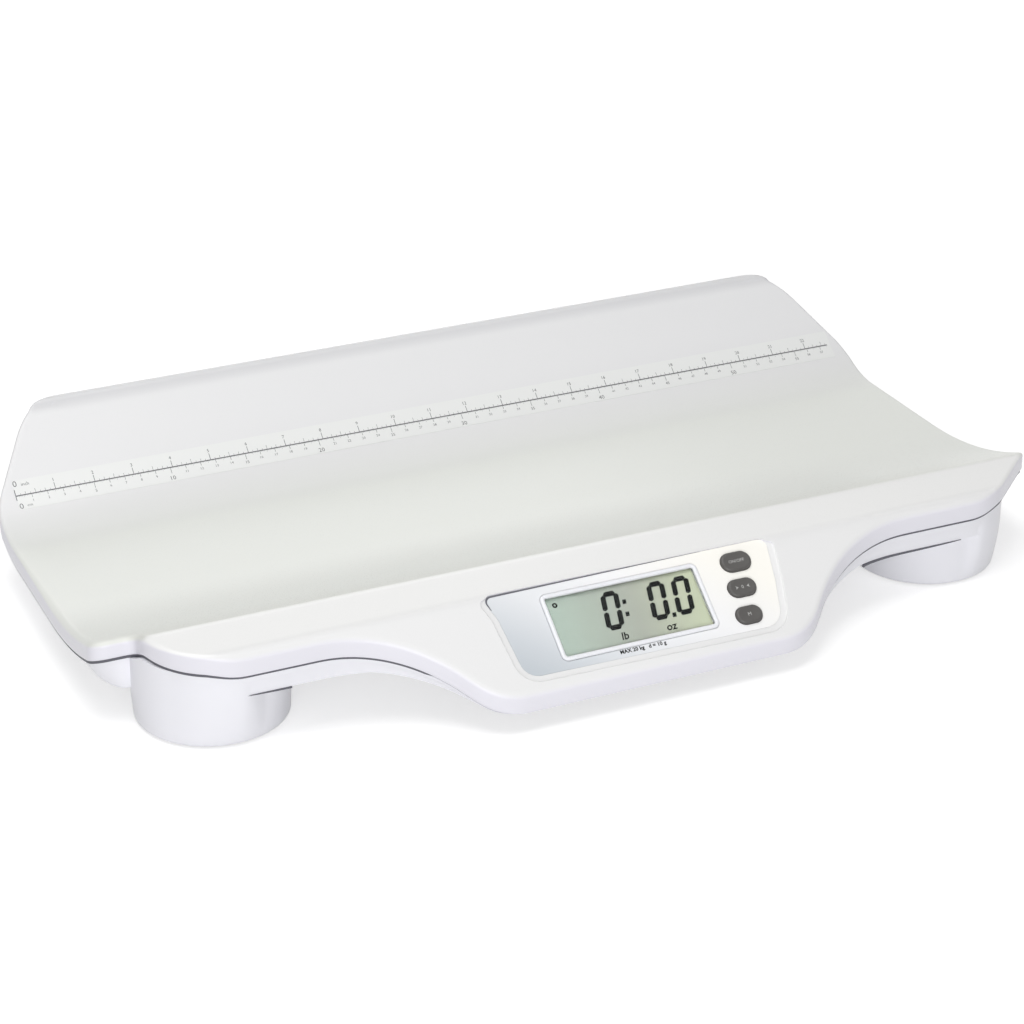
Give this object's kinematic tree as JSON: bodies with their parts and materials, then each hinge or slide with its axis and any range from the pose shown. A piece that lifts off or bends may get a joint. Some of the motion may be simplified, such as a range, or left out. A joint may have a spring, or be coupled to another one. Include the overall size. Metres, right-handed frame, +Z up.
{
  "type": "baby weighing scale",
  "caption": "Digital weighing scale for a baby: long scooped tray on a low hollow base with round legs and a slanted display console at the front.",
  "frame": {"origin": "on the floor under the middle of the tray", "axes": "+Z up, +X along the tray, the display console faces -Y"},
  "size_m": [0.6107, 0.361, 0.0953],
  "materials": {
    "tray_white": "satin to gloss moulded ABS",
    "base_white": "satin to gloss moulded ABS, slightly bluish",
    "label": "printed film",
    "panel_silver": "printed plate, silver to warm white",
    "bezel_silver": "silver lacquered frame",
    "window_clear": "clear acrylic",
    "lcd_green": "display cell, grey-green",
    "reflector": "display backing",
    "strip_rubber": "layered conductive rubber",
    "inner_plastic": "moulded inner part",
    "board_green": "circuit board",
    "chip_black": "moulded component",
    "button_grey": "dark grey moulded button",
    "battery": "sleeved round cell",
    "plated_steel": "plated steel",
    "cell_steel": "spring steel plate",
    "foot_plastic": "moulded foot",
    "foot_rubber": "grey rubber pad",
    "cable_grey": "soft cable jacket"
  },
  "bodies": {
    "housing": {"base_shell": "base_white", "batteries": "battery", "battery_box": "base_white", "battery_contacts": "plated_steel", "battery_lead": "cable_grey", "board_chips": "chip_black", "board_screws": "plated_steel", "buzzer": "chip_black", "cell_bracket_front_left": "inner_plastic", "cell_bracket_front_right": "inner_plastic", "cell_bracket_rear_left": "inner_plastic", "cell_bracket_rear_right": "inner_plastic", "cell_cable_front_left": "cable_grey", "cell_cable_front_right": "cable_grey", "cell_cable_rear_left": "cable_grey", "cell_cable_rear_right": "cable_grey", "cell_screws": "plated_steel", "foot_pad_front_left": "foot_rubber", "foot_pad_front_right": "foot_rubber", "foot_pad_rear_left": "foot_rubber", "foot_pad_rear_right": "foot_rubber", "foot_post_front_left": "foot_plastic", "foot_post_front_right": "foot_plastic", "foot_post_rear_left": "foot_plastic", "foot_post_rear_right": "foot_plastic", "housing_screws": "plated_steel", "lcd_bezel": "bezel_silver", "lcd_frame": "inner_plastic", "lcd_glass": "lcd_green", "lcd_reflector": "reflector", "lcd_window": "window_clear", "load_cell_front_left": "cell_steel", "load_cell_front_right": "cell_steel", "load_cell_rear_left": "cell_steel", "load_cell_rear_right": "cell_steel", "main_board": "board_green", "panel_plate": "panel_silver", "ruler_label": "label", "tact_switches": "chip_black", "tray_shell": "tray_white", "zebra_strips": "strip_rubber"},
    "power_button": {"power_button": "button_grey"},
    "tare_button": {"tare_button": "button_grey"},
    "recall_button": {"recall_button": "button_grey"},
    "battery_door": {"battery_door": "base_white"}
  },
  "joints": [
    {"name": "power_button_press", "type": "slide", "parent": "housing", "child": "power_button", "axis": [0, -0.5948, 0.8039], "range_m": [-0.0008, 0], "stiffness_N_per_m": 1500, "springref_m": 0.0003},
    {"name": "tare_button_press", "type": "slide", "parent": "housing", "child": "tare_button", "axis": [0, -0.5948, 0.8039], "range_m": [-0.0008, 0], "stiffness_N_per_m": 1500, "springref_m": 0.0003},
    {"name": "recall_button_press", "type": "slide", "parent": "housing", "child": "recall_button", "axis": [0, -0.5948, 0.8039], "range_m": [-0.0008, 0], "stiffness_N_per_m": 1500, "springref_m": 0.0003},
    {"name": "battery_door_swing", "type": "hinge", "parent": "housing", "child": "battery_door", "pos_m": [0, -0.0691, 0.0212], "axis": [-1, 0, 0], "range_deg": [0, 35]}
  ]
}
